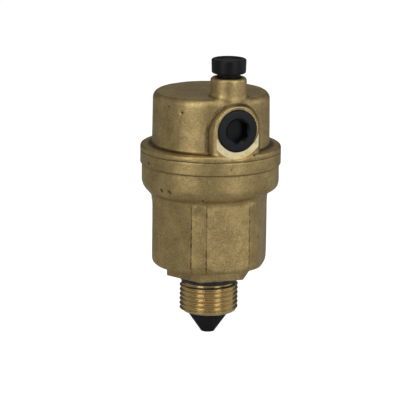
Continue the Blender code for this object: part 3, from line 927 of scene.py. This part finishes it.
def make_plug():
    """Side plug, with one ring groove as its thread and a hexagon socket with a chamfered mouth."""
    profile = [
        (0, 14.2),
        (4.5, 14.2),
        (4.8, 14.45),
        (4.8, 14.55),
        (4.4, 14.8),
        (4.4, 14.88),
        (4.8, 15.13),
        (4.8, 15.25),
        (4.5, 15.45),
        (4.5, 16.85),
        (PLUG_R, 16.85),
        (PLUG_R, PLUG_FACE - 0.45),
        *arc((PLUG_R - 0.45, PLUG_FACE - 0.45), 0.45, 0, 90, 6),
        (0, PLUG_FACE),
    ]
    piece = lathe("side_plug_screw", profile, 128, along="-Y")
    corner = 3.0 / math.cos(math.radians(30))
    outline = []
    for k in range(6):
        at = math.radians(30 + 60 * k)
        centre = ((corner - 0.35) * math.cos(at), (corner - 0.35) * math.sin(at))
        outline += arc(centre, 0.3, 60 * k, 60 * k + 60, 4)
    socket = prism("socket", outline, PLUG_FACE - 2.9, 20.0)
    mouth_profile = [(0, PLUG_FACE - 0.6), (2.9, PLUG_FACE - 0.6), (3.95, PLUG_FACE + 0.2), (0, PLUG_FACE + 0.2)]
    mouth = lathe("socket_mouth", mouth_profile, 96, along="-Y")
    cut(piece, socket, mouth)

    def pick(centres, normals):
        from_axis = np.hypot(centres[:, 0], centres[:, 2] - PORT_Z)
        # the socket and the inside of its mouth take the darker copy: painted shade
        return ((from_axis < 3.75) & (centres[:, 1] > 0.05 - PLUG_FACE)).astype(int)

    finish_piece(piece, "side_plug", ["side_plug"], [PLUG_PLASTIC, SOCKET_SHADE_PLASTIC], pick=pick)


def make_spring():
    """Round-wire compression spring, built at one length; this mesh doesn't shorten as the valve closes."""
    turns, steps, sides = 4, 40, 12
    builder = bmesh.new()
    rows = []
    for i in range(turns * steps + 1):
        angle = math.tau * i / steps
        z = SPRING_LOW_Z + (SPRING_HIGH_Z - SPRING_LOW_Z) * i / (turns * steps)
        row = []
        for radius, height in arc((SPRING_R, z), SPRING_WIRE_R, 0, 360, sides)[:-1]:
            row.append(builder.verts.new((radius * math.cos(angle), radius * math.sin(angle) + VALVE_Y, height)))
        rows.append(row)
    for lower, upper in zip(rows, rows[1:]):
        for k in range(sides):
            j = (k + 1) % sides
            builder.faces.new([lower[k], lower[j], upper[j], upper[k]])
    builder.faces.new(rows[0])
    builder.faces.new(rows[-1])
    piece = object_from(builder, "valve_spring_coil")
    finish_piece(piece, "housing", ["valve_spring"], [STEEL])
    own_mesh(piece)


make_body()
make_nipple()
make_cover()
make_seal()
make_nose()
make_cap()
make_plug()
make_spring()

KEPT_LOOKS = {
    "cover_o_ring": RUBBER,
    "valve_seal": RUBBER,
    "valve_seat_o_ring": RUBBER,
    "vent_cap_o_ring": RUBBER,
    "side_plug_o_ring": RUBBER,
    "float_shell": FLOAT_PLASTIC,
    "float_lid": FLOAT_PLASTIC,
    "float_hanger": STEEL,
    "link_pin": STEEL,
    "lever": STEEL,
    "pivot_pin": STEEL,
    "lever_bracket": STEEL,
    "bracket_screw_left": STEEL,
    "bracket_screw_right": STEEL,
    "valve_seat": BORED,
    "valve_stem": BORED,
}
for node_name, node_look in KEPT_LOOKS.items():
    for material_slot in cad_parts[node_name].material_slots:
        material_slot.material = node_look


# ---------------------------------------------------------------- stage, light and camera


def make_floor():
    """Large floor under the object, brighter to the camera than to the object that it lights."""
    builder = bmesh.new()
    for x, y in ((-1, -1), (1, -1), (1, 1), (-1, 1)):
        builder.verts.new((x * 6.0, y * 6.0, FLOOR_Z * MM))
    builder.faces.new(builder.verts)
    floor = object_from(builder, "floor", recalculate=False)
    white = bpy.data.materials.new("floor")
    white.use_nodes = True
    shader = white.node_tree.nodes["Principled BSDF"]
    shader.inputs["Base Color"].default_value = (0.5, 0.5, 0.5, 1)
    shader.inputs["Roughness"].default_value = 0.9
    shader.inputs["Specular IOR Level"].default_value = 0.0
    shader.inputs["Emission Color"].default_value = (1, 1, 1, 1)
    tree = white.node_tree
    path = tree.nodes.new("ShaderNodeLightPath")
    glow = tree.nodes.new("ShaderNodeMapRange")
    glow.inputs["To Min"].default_value = 0.05
    glow.inputs["To Max"].default_value = 0.9
    tree.links.new(path.outputs["Is Camera Ray"], glow.inputs["Value"])
    tree.links.new(glow.outputs["Result"], shader.inputs["Emission Strength"])
    floor.data.materials.append(white)


def make_world():
    """White surroundings, also brighter to the camera than to the object."""
    world = bpy.data.worlds.new("studio")
    bpy.context.scene.world = world
    world.use_nodes = True
    tree = world.node_tree
    path = tree.nodes.new("ShaderNodeLightPath")
    strength = tree.nodes.new("ShaderNodeMapRange")
    strength.inputs["To Min"].default_value = 0.07
    strength.inputs["To Max"].default_value = 1.0
    background = tree.nodes["Background"]
    background.inputs["Color"].default_value = (1, 1, 1, 1)
    tree.links.new(path.outputs["Is Camera Ray"], strength.inputs["Value"])
    tree.links.new(strength.outputs["Result"], background.inputs["Strength"])


CAMERA_AZIMUTH, CAMERA_ELEVATION = -24.84, 12.77
CAMERA_DISTANCE = 0.690
TARGET = Vector((0, 0, 0.023))


def direction(azimuth, elevation):
    """Unit vector from the object, with azimuth 0 at -Y and turning towards +X."""
    a, e = math.radians(azimuth), math.radians(elevation)
    return Vector((math.sin(a) * math.cos(e), -math.cos(a) * math.cos(e), math.sin(e)))


def softbox(name, azimuth, elevation, distance, width, height, power, colour=(1, 1, 1)):
    """Area light aimed at the object; the azimuth is measured from the camera's."""
    data = bpy.data.lights.new(name, "AREA")
    data.shape = "RECTANGLE"
    data.size, data.size_y = width, height
    data.energy = power
    data.color = colour
    lamp = bpy.data.objects.new(name, data)
    bpy.context.scene.collection.objects.link(lamp)
    toward = direction(CAMERA_AZIMUTH + azimuth, elevation)
    lamp.location = TARGET + toward * distance
    lamp.rotation_mode = "QUATERNION"
    lamp.rotation_quaternion = toward.to_track_quat("Z", "Y")


def make_camera():
    """Long lens at the angle of the reference view, rolled slightly."""
    data = bpy.data.cameras.new("camera")
    data.sensor_width = 36.0
    data.lens = 220.2
    data.clip_start = 0.01
    camera = bpy.data.objects.new("camera", data)
    bpy.context.scene.collection.objects.link(camera)
    back = direction(CAMERA_AZIMUTH, CAMERA_ELEVATION)
    right = Vector((0, 0, 1)).cross(back).normalized()
    up = back.cross(right)
    # aimed a little left and below, so that the object sits right of and above the middle
    aim = TARGET - right * 0.00279 - up * 0.00221
    camera.location = TARGET + back * CAMERA_DISTANCE
    look = (camera.location - aim).normalized()
    camera.rotation_mode = "QUATERNION"
    camera.rotation_quaternion = look.to_track_quat("Z", "Y") @ Quaternion((0, 0, 1), math.radians(0.75))
    bpy.context.scene.camera = camera


make_floor()
make_world()
softbox("left_box", -37.0, 20.0, 0.6, 0.26, 0.9, 1.88)
softbox("right_box", 41.0, 20.0, 0.6, 0.24, 0.9, 1.75)
softbox("far_left_box", -105.0, 18.0, 0.65, 0.5, 0.6, 0.25)
softbox("far_right_box", 98.0, 18.0, 0.65, 0.6, 0.6, 0.85)
softbox("top_box", 0.0, 75.0, 0.7, 0.5, 0.5, 0.78)
softbox("back_box", 180.0, 38.0, 0.8, 0.7, 0.4, 0.3)
make_camera()

bpy.context.scene.view_settings.view_transform = "Standard"
